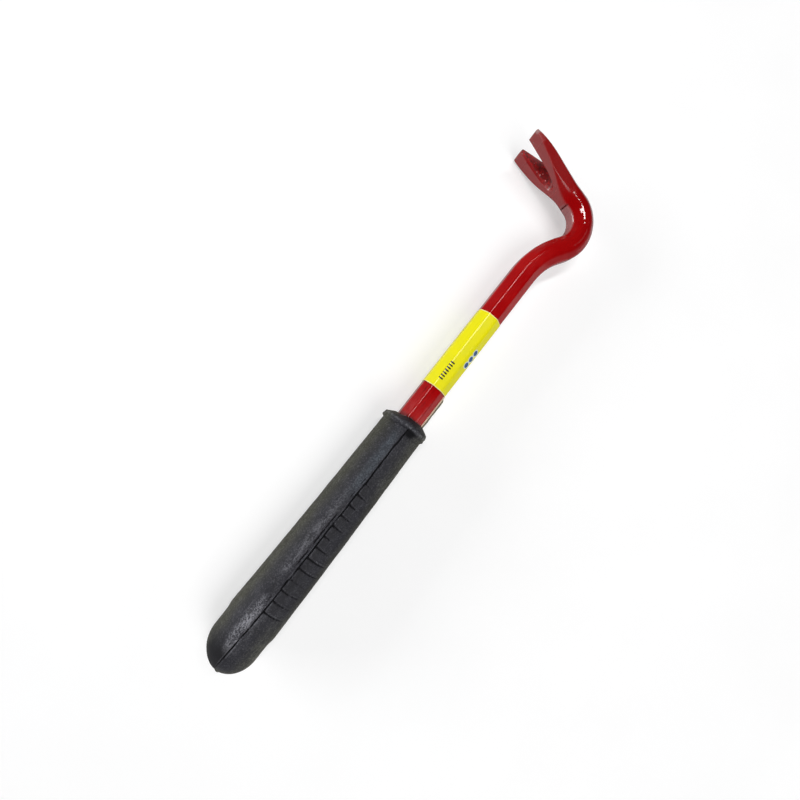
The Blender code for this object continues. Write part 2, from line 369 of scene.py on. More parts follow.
def notchHalfGap(l, depth):                # l is measured from where the claw starts
    root = rootStart + depth * notch["rootSlope"]
    past = l - root
    if past <= 0:
        return 0.0
    full = past * notch["depth"] / max(bar["clawLength"] - root, 1.0)
    opening = exp(-max(full - notch["rootRound"], 0.0) / notch["openingLength"])
    wide = notch["tipHalf"] - (notch["tipHalf"] - notch["rootHalf"]) * opening
    wide *= sqrt(1 - (1 - min(past / notch["rootRound"], 1.0)) ** 2)
    inset = min(depth, notch["bevel"]) + max(depth - notch["bevel"], 0.0) * notch["wallSlope"]
    least = notch["leastHalf"] * min(wide / notch["rootHalf"], 1.0)
    return max(wide - inset, least)


def cornerRadius(l):
    onHeel = ease(l, -clawStart, -clawStart * 0.45)
    onClaw = ease(l, 0.0, 24.0)
    return mix(mix(bar["shankCorner"], bar["heelCorner"], onHeel), bar["clawCorner"], onClaw)


def halfSection(l, inset):                 # (depth, height) points, from the notch's floor to the back
    v = clamp(l / bar["clawLength"])
    thick = clawThickness(v)
    flare = ease(l, bar["flareStart"], bar["clawLength"] - bar["tipStraight"])
    half = mix(bar["flats"], bar["clawWidth"], flare) / 2
    fade = ease(l, bar["faceFadeStart"], bar["faceFadeStart"] + bar["faceFade"])
    faceCut = mix(octagonCut, bar["faceChamfer"], fade)
    backCut = mix(octagonCut, bar["backChamfer"], v)
    radius = cornerRadius(l)
    floorDepth = clamp((l - rootStart) / notch["rootSlope"], 0.0, thick)
    backGap = notchHalfGap(l, thick)
    lip = min(notch["backLip"], 0.3 * thick) if backGap else 0.0
    deepest = thick - lip if backGap else floorDepth
    bevel = min(notch["bevel"], 0.4 * floorDepth)

    wallCount = 9
    points = []
    for k in range(wallCount):
        t = k / wallCount
        depth = mix(deepest, bevel, t if backGap else 1 - cos(pi / 2 * t))
        points.append(Vector((depth, notchHalfGap(l, depth))))
    corners = [
        Vector((bevel, notchHalfGap(l, bevel))), Vector((0, notchHalfGap(l, 0))),
        Vector((0, half - faceCut)), Vector((faceCut, half)), Vector((thick - backCut, half)),
        Vector((thick, half - backCut)), Vector((thick, backGap)),
        Vector((deepest if backGap else thick, notchHalfGap(l, deepest) if backGap else 0.0)),
    ]
    radii = [notch["lip"], radius, radius, radius, radius, lip]
    points += softLine(corners, radii, (0, 7, 2, 4, 2, 7, 0), 5)

    fold = bar["creaseDepth"] * hump(l, bar["creaseAt"], bar["creaseWidth"])
    for point in points:
        point.x += fold * clamp(1 - point.x)
    if inset:
        middle = (backGap + half) / 2
        width = (half - backGap) / 2
        for point in points:
            point.x = mix(thick / 2, point.x, 1 - inset / (thick / 2))
            point.y = mix(middle, point.y, 1 - inset / width)
    return points


def barStations():
    shankStart = gripLow.x + bar["start"] - neckX
    shankCount = 70
    foldStart = clawStart - 2.0
    root = clawStart + rootStart
    rootCount = 11
    stops = [mix(shankStart, -2.0, k / shankCount) for k in range(shankCount + 1)]
    stops += spaced(0.0, 0.8, int(foldStart / 0.8))
    stops += spaced(foldStart, 0.25, 17)
    stops += spaced(clawStart + 2.25, 0.65, 20)
    stops += [root + notch["rootRound"] * (k / rootCount) ** 2 for k in range(rootCount + 1)]
    stops += spaced(root + 3.5, 0.35, 18)
    stops += spaced(root + 9.8, 0.7, 29)
    end = clawStart + bar["clawLength"]
    plain = [(stop, 0.0) for stop in sorted(stops)]
    tip = [(0.25, 0.0), (0.08, 0.02), (-0.1, 0.07), (-0.22, 0.15), (-bar["tipGrowth"], 0.27)]
    return plain + [(end - back, inset) for back, inset in tip]


def hammerMark(bm, place, lean, depth):    # flattens a small spot on the heel
    x, y, heading = centreLine(place)
    centre = Vector((x, y, axisZ))
    outward = Vector((-sin(heading) * sin(lean), cos(heading) * sin(lean), cos(lean)))
    under = centre + outward * (halfFlats + 0.3)
    near = [vert for vert in bm.verts if (vert.co - under).length < bar["markReach"]]
    top = max(near, key=lambda vert: (vert.co - centre).dot(outward)).co.copy()
    for vert in near:
        offset = vert.co - top
        above = offset.dot(outward) + depth
        if above > 0:
            vert.co -= outward * above * (1 - ease(offset.length, bar["markFlat"], bar["markEdge"]))


def sectionPoint(line, depth, height):     # line is the centre line's place and heading
    x, y, heading = line
    aside = halfFlats - depth
    return x - sin(heading) * aside, y + cos(heading) * aside, axisZ + height


def makeBar(finish):
    bm = bmesh.new()
    rows = {1: [], -1: []}
    for s, inset in barStations():
        line = centreLine(s)
        section = halfSection(s - clawStart, inset)
        for side, made in rows.items():
            made.append([sectionPoint(line, depth, side * height) for depth, height in section])
    for made in rows.values():
        skin(bm, made, closed=False)
    bmesh.ops.remove_doubles(bm, verts=bm.verts, dist=bar["weld"])
    bmesh.ops.dissolve_degenerate(bm, edges=bm.edges, dist=bar["weld"] / 2)
    bmesh.ops.holes_fill(bm, edges=bm.edges, sides=0)
    for vert in bm.verts:
        forged = 0.25 + 0.75 * ease(vert.co.x, neckX, neckX + 30)
        push = noise.noise_vector(vert.co / bar["unevenSize"])
        vert.co += push * bar["unevenness"] * forged
    for mark in bar["hammerMarks"]:
        hammerMark(bm, **mark)
    makePiece("forgedBar", bm, finish, "forged_bar")


enamel = {
    "red": (0.345, 0.0012, 0.0022),
    "thin": (0.42, 0.006, 0.006),          # where the paint lies thin on the steel's corners
    "thick": (0.18, 0.0006, 0.0012),       # and darker red from the neck on, over the claw
    "chip": (0.16, 0.13, 0.12),
    "worn": (0.36, 0.23, 0.22),            # steel under the last of the paint, at the tips, also laid as painted glints along the notch's edge
    # dirt streaks on the lower shank, and painted shade in the notch, the fold and beside label and grip
    "dirtAndShade": (0.06, 0.001, 0.001),
    "scuff": (0.34, 0.22, 0.22),           # dusty scrape and a painted reflection of the floor, in the inner bend
    "fresh": (0.50, 0.003, 0.004),         # scored paint on the notch's walls
    "glint": (0.95, 0.45, 0.45),           # painted glints, bright specks there
    "dustAndReflection": (0.40, 0.24, 0.24),            # dust and a painted reflection of the floor, on the claw's face
    "gloss": 0.07,
    "dull": 0.3,
    "peel": 1.3,                           # size of its orange peel
    "sag": 9.0,
    "dent": 3.2,                           # size of the hammered waves under the paint
}


def clawAxes(x, y):                        # how far towards the tips, and how deep under the face
    clawX, clawY, heading = centreLine(clawStart)
    toTip = (x - clawX) * cos(heading) + (y - clawY) * sin(heading)
    depth = halfFlats - (y - clawY) * cos(heading) + (x - clawX) * sin(heading)
    return toTip, depth


def fromHeel(x, y):                        # distance from the middle of the heel's bend
    bendX, bendY, heading = centreLine(clawStart - bends[2][1])
    offX = x - (bendX - bar["heelRadius"] * sin(heading))
    offY = y - (bendY + bar["heelRadius"] * cos(heading))
    return (offX * offX + offY * offY).math("SQRT")


def notchLayers(finish, place, inNotch, toTip, depth):     # scored and dirty paint on the notch's walls, with painted shade deep in it and painted glints
    wall = inNotch * depth.step(0.4, 1.2)
    thick = clawThickness(toTip / bar["clawLength"])
    # painted shade deep in the notch, where the prongs hide it from the light
    notchShade = inNotch * depth.step(1.6, 6.0) * (thick - depth).step(0.8, 1.8)
    scored = finish.grain(finish.scaled(place, (0.7, 0.7, 1.3)), 1.2, 6.0, 0.75)
    # painted glints, bright specks on the walls
    glint = wall * finish.cells(place, 2.4).step(0.17, 0.1) * (1 - depth.step(2.5, 5.0))
    return [
        (notchShade * 0.7, "dirtAndShade"),
        (wall * (1 - scored.step(0.4, 0.5)) * 0.85, "dirtAndShade"),
        (wall * scored.step(0.52, 0.6) * 0.8, "fresh"),
        (glint, "glint"),
    ]


def makeEnamel():
    finish = Finish("redEnamel", Specular_IOR_Level=0.5, IOR=1.5)
    place = finish.place()
    x, y, z = finish.axes(place)
    toTip, depth = clawAxes(x, y)
    fromMiddle = abs(z - axisZ)
    cloud = finish.grain(place, 14.0, 4.0)
    fine = finish.grain(place, 0.5, 5.0, 0.6)
    streak = finish.grain(finish.scaled(place, (0.12, 1.0, 1.0)), 1.1, 5.0, 0.62)
    rub = finish.grain(finish.scaled(place, (1.0, 0.22, 1.0)), 2.4, 6.0, 0.7)
    # darker red from the neck on, over the claw
    towardsClaw = x.step(neckX - 10.0, neckX + 70.0) * (0.42 + 0.4 * cloud)

    # chips and wear at the tips, and painted glints along the notch's edge
    tipward = toTip.step(37.0, 46.0)
    nicks = finish.cells(place, 3.1).step(0.17, 0.1) * (rub - 0.62 + 0.3 * tipward).step(0.0, 0.03)
    nicks = nicks * tipward
    inNotch = (toTip - rootStart).step(-1.0, 1.0) * (1 - fromMiddle.step(5.6, 6.6))
    edgeGlint = depth.peak(1.3, 0.55) * inNotch * finish.cells(place, 1.9).step(0.3, 0.2) * rub.step(0.5, 0.6)
    worn = toTip.step(45.5, 46.3) + toTip.step(42.0, 45.6) * z.step(axisZ + 12.4, axisZ + 13.6)
    worn = (worn + 0.9 * (rub - 0.5)).step(0.4, 0.95)

    # dust and a painted reflection of the floor in the inner bend and on the claw's face, painted shade
    # in its fold, and painted shadow beside label and grip
    inBend = bar["heelRadius"] - halfFlats
    # dust and a painted reflection of the floor over the inner bend
    scrapeAndReflection = (1 - fromHeel(x, y).step(inBend + 0.3, inBend + 1.3)) * (0.6 + 0.4 * cloud)
    # dust and a painted reflection of the floor on the claw's face
    dustAndReflection = (1 - depth.step(0.1, 0.6)) * toTip.step(1.0, 6.0) * (0.7 + 0.6 * cloud)
    # painted shade in the hammered fold
    fold = toTip.peak(bar["creaseAt"] - 0.1, 0.75) * (1 - depth.step(0.5, 1.6))
    # painted shadow under the label's end and in the grip's mouth
    edgeShade = x.peak(labelLow.x - 0.15, 0.5) * 0.7
    edgeShade = edgeShade + (1 - x.step(gripHigh.x - 0.5, gripHigh.x + 2.2)) * 0.6
    streaky = streak.step(0.54, 0.66) * (1 - x.step(labelLow.x - 3, labelLow.x)) * 0.55

    colour = finish.blend(cloud.step(0.35, 0.75), enamel["red"], enamel["thin"])
    layers = [
        (towardsClaw, "thick"),
        (nicks, "chip"),
        # wear at the tips, and painted glints along the notch's edge
        ((worn + edgeGlint) * 0.75, "worn"),
        (scrapeAndReflection * 0.6, "scuff"),
        (dustAndReflection * 0.12, "dustAndReflection"),
        *notchLayers(finish, place, inNotch, toTip, depth),
        # painted shade in the fold and beside label and grip, and dirt streaks below the label
        (fold * 0.8 + edgeShade + streaky, "dirtAndShade"),
    ]
    colour = finish.coats(colour, layers, enamel)

    scuff = streak.step(0.66, 0.74) * cloud.step(0.5, 0.7)
    forged = x.step(neckX + 15.0, neckX + 30.0)
    rough = enamel["gloss"] + (enamel["dull"] - enamel["gloss"]) * scuff + 0.05 * fine
    rough = rough + 0.35 * nicks + 0.35 * worn + 0.25 * scrapeAndReflection + 0.2 * toTip.step(38.0, 44.0)
    rough = rough + 0.08 * (1 - x.step(labelLow.x - 9.0, labelLow.x))
    rough = rough + 0.24 * inNotch * depth.step(0.3, 1.5)
    rough = rough - 0.09 * forged * (1 - toTip.step(-6.0, 2.0)) + 0.16 * toTip.step(2.0, 12.0)
    rough = rough + 0.2 * toTip.peak(rootStart, 2.6) * (1 - fromMiddle.step(3.0, 4.5))

    sag = finish.grain(place, enamel["sag"], 2.0)
    dent = finish.grain(place, enamel["dent"], 2.0, 0.5) * forged
    peel = finish.grain(place, enamel["peel"], 2.0, 0.4)
    normal = finish.bump(sag, 0.5, 0.35)
    normal = finish.bump(dent, 0.4, 0.25, normal)
    normal = finish.bump(peel, 0.28, 0.03, normal)
    normal = finish.bump(fine - 2.0 * nicks - 0.6 * scuff, 0.3, 0.02, normal)
    return finish.wear(Base_Color=colour, Roughness=rough, Normal=normal)


# Rubber grip

grip = {
    "domeLength": 17.7,
    "domeRadius": 14.75,
    "domePoint": 0.77,
    "shoulderStart": 27.0,
    "shoulderLength": 6.0,
    "rearRadius": 15.4,
    "frontRadius": 13.2,
    "collarRadius": 14.1,
    "collarLength": 6.8,
    "collarRise": 1.3,
    "collarCrest": 3.0,
    "collarSwell": 0.25,           # more of it on the +Y side
    "mouthLip": 0.9,
    "mouthSlant": 1.6,             # the collar is set back on the +Y side
    "collarBack": 1.3,             # and starts earlier on the -Y side
    "boreGap": 0.3,
    "wall": 12.0,                  # rubber behind the bar
    "ribCount": 13,
    "ribFirst": 45.0,
    "ribPitch": 6.8,
    "ribDepth": 0.56,
    "ribWidth": 0.38,
    "ribLean": 1.6,                # how far a finger groove leans back, a quarter turn on
    "seamDepth": 0.8,
    "seamWidth": 0.34,
    "twin": 1.7,                   # between the parting line and its broken double
    "flash": 0.16,
    "pinch": 1.4,                  # crease behind the collar, and where it lies round the grip
    "pinchAt": radians(69),
    "pinchSpan": radians(31),
    "pocket": 0.9,                 # hollow behind the collar, beside the parting line
    "pocketAt": radians(103),
    "pocketSpan": radians(18),
    "nub": 0.45,
    "bow": 0.55,                   # the rubber's outside sags sideways between its ends
    "buttLean": 0.4,
    "unevenness": 0.16,
}
arcRadius = 14.0                           # where distances round the grip are measured
gripLength = gripHigh.x - gripLow.x + 0.15
gripButt = gripHigh.x - gripLength
collarStart = gripLength - grip["collarLength"]
crestStart = collarStart + grip["collarRise"]
crestEnd = crestStart + grip["collarCrest"]


def seamJog(cell):
    return 0.45 * wobble(cell * 2.7, 7.0)


def seamDrift(x):                          # how far the parting line strays towards -Y
    place = (x - grip["ribFirst"]) / grip["ribPitch"]
    cell = floor(place)
    jog = mix(seamJog(cell), seamJog(cell + 1), ease(place - cell, 0.82, 1.0))
    return -2.3 + 1.5 * ease(x, 0.0, 58.0) + ease(x, 75.0, 168.0) + jog * ease(x, 20.0, 45.0)


def gripProfile(x):                        # radius along the grip
    if x <= grip["domeLength"]:
        return grip["domeRadius"] * sin(pi / 2 * (x / grip["domeLength"]) ** grip["domePoint"])
    shoulderEnd = grip["shoulderStart"] + grip["shoulderLength"]
    if x <= shoulderEnd:
        return mix(grip["domeRadius"], grip["rearRadius"], ease(x, grip["shoulderStart"], shoulderEnd))
    taper = min((x - shoulderEnd) / (collarStart - shoulderEnd), 1.0)
    radius = mix(grip["rearRadius"], grip["frontRadius"], taper)
    if x <= crestStart:
        return mix(radius, grip["collarRadius"], ease(x, collarStart, crestStart))
    if x <= crestEnd:
        return grip["collarRadius"] - 0.25 * ease(x, crestEnd - 1.2, crestEnd)
    mouth = (halfFlats + grip["boreGap"]) / cos(pi / 8) + grip["mouthLip"]
    return mix(grip["collarRadius"] - 0.25, mouth, (x - crestEnd) / (gripLength - crestEnd))


def ribCut(x, fromSeam, arc):              # finger grooves, on the -Y side only
    if not 0.0 < fromSeam < pi:
        return 0.0
    lean = grip["ribLean"] * sin(min(fromSeam, pi - fromSeam))
    place = (x + lean - grip["ribFirst"]) / grip["ribPitch"]
    k = clamp(floor(place + 0.5), 0, grip["ribCount"] - 1)
    off = (place - k) * grip["ribPitch"]
    strength = (0.8 + 0.9 * wobble(k * 3.7, 1.3)) * mix(0.75, 1.0, ease(k, 0, 2))
    reach = mix(8.5, 4.5, ease(x, 74, 92)) + 5.0 * wobble(k * 5.3, 2.1)
    fade = ease(arc, 0.0, 1.0) * mix(1.0, 0.72, ease(arc, 1.5, 5.0))
    fade *= mix(1.0, 0.15, ease(arc, 0.7 * reach, 1.8 * reach))
    cut = hump(off, 0.0, grip["ribWidth"]) - 0.4 * hump(off, 0.95, 0.5)
    notchShade = (0.9 + 0.8 * wobble(k * 2.3, 5.1)) * hump(arc, 0.5, 0.8) * hump(off, 0.0, 0.6)
    return grip["ribDepth"] * strength * (cut * fade + notchShade)


def gripCut(x, angle, arc):                # how deep the lines in the rubber are cut
    fromSeam = (angle - pi / 2 - seamDrift(x) / arcRadius) % tau
    body = ease(x, 3.0, 14.0)
    calm = 1 - ease(x, collarStart, crestStart)
    cut = ribCut(x, fromSeam, abs(arc)) * calm
    seam = grip["seamDepth"] * (0.8 + 0.9 * wobble(x, 9.0, scale=5.0))
    open = 1 + 0.9 * clamp(1.6 * wobble(x, 14.0, scale=8.0)) + 0.7 * ease(x, 138.0, 160.0)
    cut += seam * hump(arc, 0.0, grip["seamWidth"] * open) * body * mix(0.15, 1.0, calm)
    broken = clamp(2.2 * wobble(x, 4.0, scale=7.0) + 0.35) * ease(x, 46, 54) * (1 - ease(x, 124, 134))
    cut += 0.6 * grip["seamDepth"] * hump(arc, -grip["twin"], 0.34) * broken
    cut -= grip["flash"] * (hump(arc, 0.75, 0.3) + hump(arc, -0.65, 0.28)) * body * calm
    onTop = hump(angle, grip["pinchAt"], grip["pinchSpan"])
    cut += grip["pinch"] * hump(x, collarStart + 0.3, 0.85) * (0.12 + 0.88 * onTop)
    beside = hump(angle, grip["pocketAt"], grip["pocketSpan"])
    cut += grip["pocket"] * hump(x, collarStart - 0.9, 2.5) * beside
    cut += 0.6 * hump(x, crestEnd + 0.3, 0.6) * (0.3 + 0.7 * onTop)
    return cut


def gripRadius(x, angle):                  # without those lines
    back = grip["collarBack"] * ease(-cos(angle), 0.2, 0.9) * (1 - ease(x, crestStart, crestEnd))
    radius = gripProfile(x + back)
    radius += grip["collarSwell"] * ease(x, collarStart, crestStart) * max(cos(angle), 0.0)
    lumps = wobble(x, 12 * cos(angle), 12 * sin(angle), scale=11.0)
    radius += grip["unevenness"] * lumps * ease(x, 4.0, 20.0)
    dents = wobble(x, 12 * cos(angle), 12 * sin(angle), scale=2.4)
    return radius + (0.06 + 0.7 * hump(x, crestStart + 0.5, 3.2)) * dents * ease(x, 3.0, 14.0)


def mouthSetback(x, angle):                # on the +Y side
    aside = ease(cos(angle), 0.1, 0.8)
    return grip["mouthSlant"] * aside * ease(x, collarStart - 5.0, collarStart + 1.0)


def borePoint(x, angle, gap):              # gap is how far outside the octagonal bore
    fromFlat = (angle + pi / 8) % (pi / 4) - pi / 8
    radius = (halfFlats + grip["boreGap"]) / cos(fromFlat) + gap
    setback = mouthSetback(x, angle)
    return gripButt + x - setback, axisY + radius * cos(angle), axisZ + radius * sin(angle)


def gripColumns(x):                        # (angle, distance from a parting line) round one ring
    near = (0.0, 0.16, 0.32, 0.5, 0.72, 1.0, 1.35, 1.7, 2.05, 2.5)
    inner = 36
    drift = seamDrift(x) / arcRadius
    top, bottom = pi / 2 + drift, 3 * pi / 2 + drift
    columns = []
    for start, span, side in ((top, bottom - top, 1), (bottom, top + tau - bottom, -1)):
        half = [(arc / arcRadius, arc) for arc in near]
        last = near[-1] / arcRadius
        for k in range(1, inner + 1):
            angle = mix(last, span - last, k / (inner + 1))
            half.append((angle, min(angle, span - angle) * arcRadius))
        half += [(span - arc / arcRadius, arc) for arc in reversed(near[1:])]
        columns += [(start + angle, side * arc) for angle, arc in half]
    return columns


def gripStations():
    coarse, fine = 0.6, 0.3
    fineStart, fineEnd = 41.0, 131.0       # where the finger grooves are
    domeCount, collarCount, mouthCount = 26, 22, 7
    stops = [grip["domeLength"] * (k / domeCount) ** 2 for k in range(1, domeCount + 1)]
    stops += [grip["domeLength"] + coarse * k for k in range(1, 39)]
    count = int((fineEnd - fineStart) / fine)
    stops += [mix(fineStart, fineEnd, k / count) for k in range(count + 1)]
    stops += [fineEnd + coarse * k for k in range(1, int((collarStart - fineEnd) / coarse))]
    stops += [mix(collarStart - 0.4, crestEnd + 0.6, k / collarCount) for k in range(collarCount + 1)]
    stops += [mix(crestEnd + 0.6, gripLength, k / mouthCount) for k in range(1, mouthCount + 1)]
    return sorted(stops)


def makeGrip(finish):
    bm = bmesh.new()
    hollow = bm.verts.layers.float.new("hollow")       # read by the rubber, to paint shade into what is cut in
    rows = []
    cuts = []
    for x in gripStations():
        nubbed = grip["nub"] * hump(gripProfile(x), 0.0, 1.3)
        along = x / gripLength
        aside = grip["buttLean"] * (1 - along) - grip["bow"] * sin(pi * along)
        row = []
        for angle, arc in gripColumns(x):
            cuts.append(gripCut(x, angle, arc))
            radius = gripRadius(x, angle) - cuts[-1]
            row.append((
                gripButt + x - nubbed - mouthSetback(x, angle),
                axisY + aside + radius * cos(angle),
                max(axisZ + radius * sin(angle), 0.0),
            ))
        rows.append(row)
    bore = ((gripLength, 0.4), (gripLength - 0.25, 0.12), (gripLength - 1.0, 0.0), (grip["wall"], 0.0))
    for x, gap in bore:
        rows.append([borePoint(x, angle, gap) for angle, arc in gripColumns(gripLength)])
    made = tube(bm, rows)
    outside = [vert for row in made for vert in row][:len(cuts)]
    for vert, cut in zip(outside, cuts):
        vert[hollow] = cut
    makePiece("rubberGrip", bm, finish, "rubber_grip", sharp=60)


rubber = {
    "grey": (0.010, 0.010, 0.0145),
    "olive": (0.027, 0.027, 0.015),
    "dustAndSheen": (0.30, 0.30, 0.33),
    "sand": (0.26, 0.26, 0.19),
    "cold": (0.20, 0.26, 0.31),            # bluish painted sheen behind the collar
    "deep": (0.002, 0.002, 0.003),
}


def rubAndSheenAreas(along, turn, fleck):       # grey where hands and the bench have rubbed it, and a painted sheen along the top
    rear = along.step(16.0, 27.0) * (1 - along.step(42.0, 56.0))
    middle = along.step(60.0, 70.0) * (1 - along.step(88.0, 140.0))
    rubAndSheen = rear * turn.peak(73.0, 19.0) * (0.08 + 0.72 * fleck)
    rubAndSheen = rubAndSheen + rear * turn.peak(92.0, 14.0) * (0.02 + 0.08 * fleck)
    rubAndSheen = rubAndSheen + middle * turn.peak(69.0, 15.0) * (0.03 + 0.26 * fleck)
    return rubAndSheen + along.peak(crestStart + 0.9, 1.2) * (0.03 + 0.25 * fleck)


def makeRubber():
    finish = Finish("blackRubber", Specular_IOR_Level=0.4, Specular_Tint=(0.96, 0.95, 1.0, 1.0))
    place = finish.place()
    x, y, z = finish.axes(place)
    along = x - gripButt
    turn = finish.math("ARCTAN2", z - axisZ, y - axisY) * (180 / pi)       # 90 degrees on top
    hollow = finish.node("ShaderNodeAttribute", {"attribute_name": "hollow"}, out=2)
    cloud = finish.grain(place, 9.0, 5.0, 0.6)
    smear = finish.grain(finish.scaled(place, (0.3, 1.0, 1.0)), 2.2, 6.0, 0.65, 0.4)
    speck = finish.grain(place, 0.8, 3.0, 0.75)
    fleck = (0.5 * smear + 0.5 * speck).step(0.44, 0.57)
    blotch = finish.grain(place, 2.6, 3.0, 0.65)
    chafe = finish.grain(place, 1.2, 3.0, 0.7).step(0.36, 0.58)

    # rubbed and dusty places, with painted sheen and painted highlights
    pale = blotch.step(0.5, 0.75) * 0.06 + 0.13 * fleck * speck.step(0.48, 0.66)
    rubAndSheen = rubAndSheenAreas(along, turn, fleck)
    # painted highlight on the raised lips beside the cuts, with dust
    lips = (-hollow).step(0.03, 0.16) * (0.03 + 0.16 * fleck)
    front = along.step(108.0, 132.0) * (1 - along.step(150.0, 164.0))
    # bluish painted sheen along the top behind the collar
    frontSheen = front * turn.peak(77.0, 20.0) * (0.06 + 0.12 * fleck)
    ends = 1 - along.step(26.0, 56.0) + 0.6 * along.step(112.0, 134.0)
    sandy = turn.step(100.0, 138.0) * ends * (0.06 + 0.2 * fleck)
    sandy = sandy + (1 - turn.step(22.0, 50.0)) * (0.01 + 0.1 * fleck)

    # dark places: the butt, and painted shade, broken up like dirt, in the cuts and at the mouth
    butt = (1 - along.step(14.0, 27.0)) * (1 - turn.step(72.0, 88.0)) * turn.step(0.0, 40.0)
    nearCollar = along.step(collarStart - 7.0, collarStart - 4.0)
    # painted shade in the cuts, the deeper the darker, broken up like dirt
    dirtAndShade = (hollow * mix(0.45 + 1.3 * chafe, 0.4, nearCollar)).step(0.05, 0.32)
    # painted shade in the grip's mouth round the bar
    mouth = along.step(crestEnd + 0.3, crestEnd + 1.4) * (0.3 + 0.6 * speck)
    # darker band beside the parting line, on the -Y side
    seamSideDark = turn.peak(99.0, 14.0) * along.step(42.0, 50.0) * (1 - along.step(124.0, 134.0))

    # painted light: olive lower down, where the light is low, black and bluish on top
    low = (axisZ + 12.8 - z).step(0.0, 7.0) + 0.7 * (cloud - 0.5)
    colour = finish.blend(low, rubber["grey"], rubber["olive"])
    layers = [
        (blotch.step(0.5, 0.25) * 0.4, "deep"),
        (pale, "dustAndSheen"),
        (butt * 0.9 + 0.35 * speck.step(0.5, 0.3), "deep"),
        (rubAndSheen + lips, "dustAndSheen"),
        (frontSheen, "cold"),
        (sandy, "sand"),
        (seamSideDark * (0.25 + 0.6 * chafe), "deep"),
        (dirtAndShade + mouth, "deep"),
    ]
    colour = finish.coats(colour, layers, rubber)

    rough = 0.5 + 0.22 * cloud + 0.12 * speck - 0.12 * rubAndSheen + 0.35 * dirtAndShade + 0.15 * butt
    pits = finish.cells(place, 1.7).step(0.16, 0.02)
    normal = finish.bump(smear, 0.5, 0.14)
    normal = finish.bump(speck, 0.8, 0.12, normal)
    normal = finish.bump(1 - pits, 0.4, 0.06, normal)
    return finish.wear(Base_Color=colour, Roughness=rough, Normal=normal)


# Label

label = {
    "gap": 0.12,
    "thickness": 0.16,
    "corner": 2.4,
    "overlap": 3.0,                # one end laps over the other under the bar
    "raggedness": 0.12,
}


def wrapLine(offset):                      # closed (y, z) outline round the octagon, from under the bar
    half = halfFlats + offset
    cut = cornerCut(half)
    ring = [
        (0, -half), (half - cut, -half), (half, -half + cut), (half, half - cut), (half - cut, half),
        (-half + cut, half), (-half, half - cut), (-half, -half + cut), (-half + cut, -half), (0, -half),
    ]
    corners = [Vector(corner) for corner in ring]
    radius = label["corner"] + offset
    return softLine(corners, [radius] * 8, (3, 6, 6, 6, 6, 6, 6, 6, 3), 5)


def wrapRing(x, offset, ragged):           # one ring of the foil, with its lap
    line = wrapLine(offset)
    count = len(line) - 1
    points = []
    for k, (y, z) in enumerate(line):
        turn = k / count
        bulge = label["raggedness"] * wobble(x, turn * 9, 3.0, scale=2.0) if ragged else 0.0
        points.append(Vector((x + bulge, axisY + y, axisZ + z)))
    lapEnd = points[-1] + Vector((0, label["overlap"], -0.5 * label["thickness"]))
    points[-1] = points[-1] + Vector((0, 0, -label["thickness"]))
    return points + [lapEnd]


def makeLabel(finish):
    bm = bmesh.new()
    count = 44
    inner, outer = label["gap"], label["gap"] + label["thickness"]
    rows = []
    for k in range(count + 1):
        x = mix(labelLow.x, labelHigh.x, k / count)
        atEnd = k in (0, count)
        rows.append(wrapRing(x, outer, atEnd) + wrapRing(x, inner, atEnd)[::-1])
    tube(bm, rows)
    makePiece("wrapLabel", bm, finish, "wrap_label", sharp=50)


foil = {
    "yellow": (0.84, 0.77, 0.004),
    "shade": (0.74, 0.72, 0.01),
    "border": (0.86, 0.72, 0.36),          # cut edge of the paper under the film
    "ink": (0.018, 0.02, 0.012),
    "blue": (0.035, 0.10, 0.24),
    "halo": (0.62, 0.72, 0.70),
    "grime": (0.35, 0.33, 0.12),
    "borderWidth": 0.55,
    "dashes": 7,
    "dashStart": 5.6,                      # from the label's end at the grip
    "dashPitch": 1.85,
    "dashLength": 1.0,
    "dashHeight": 2.7,
    "dashY": 1.9,                          # from the axis, on the top flat
    "dots": 3,
    "dotStart": 21.8,
    "dotPitch": 4.4,
    "dotRadius": 1.7,
    "dotAcross": 0.3,                      # from the middle of the slanted flat
}


def printed(distance, half):               # 1 within half of a middle, with the print's soft edge
    return 1 - distance.step(half - 0.12, half + 0.05)


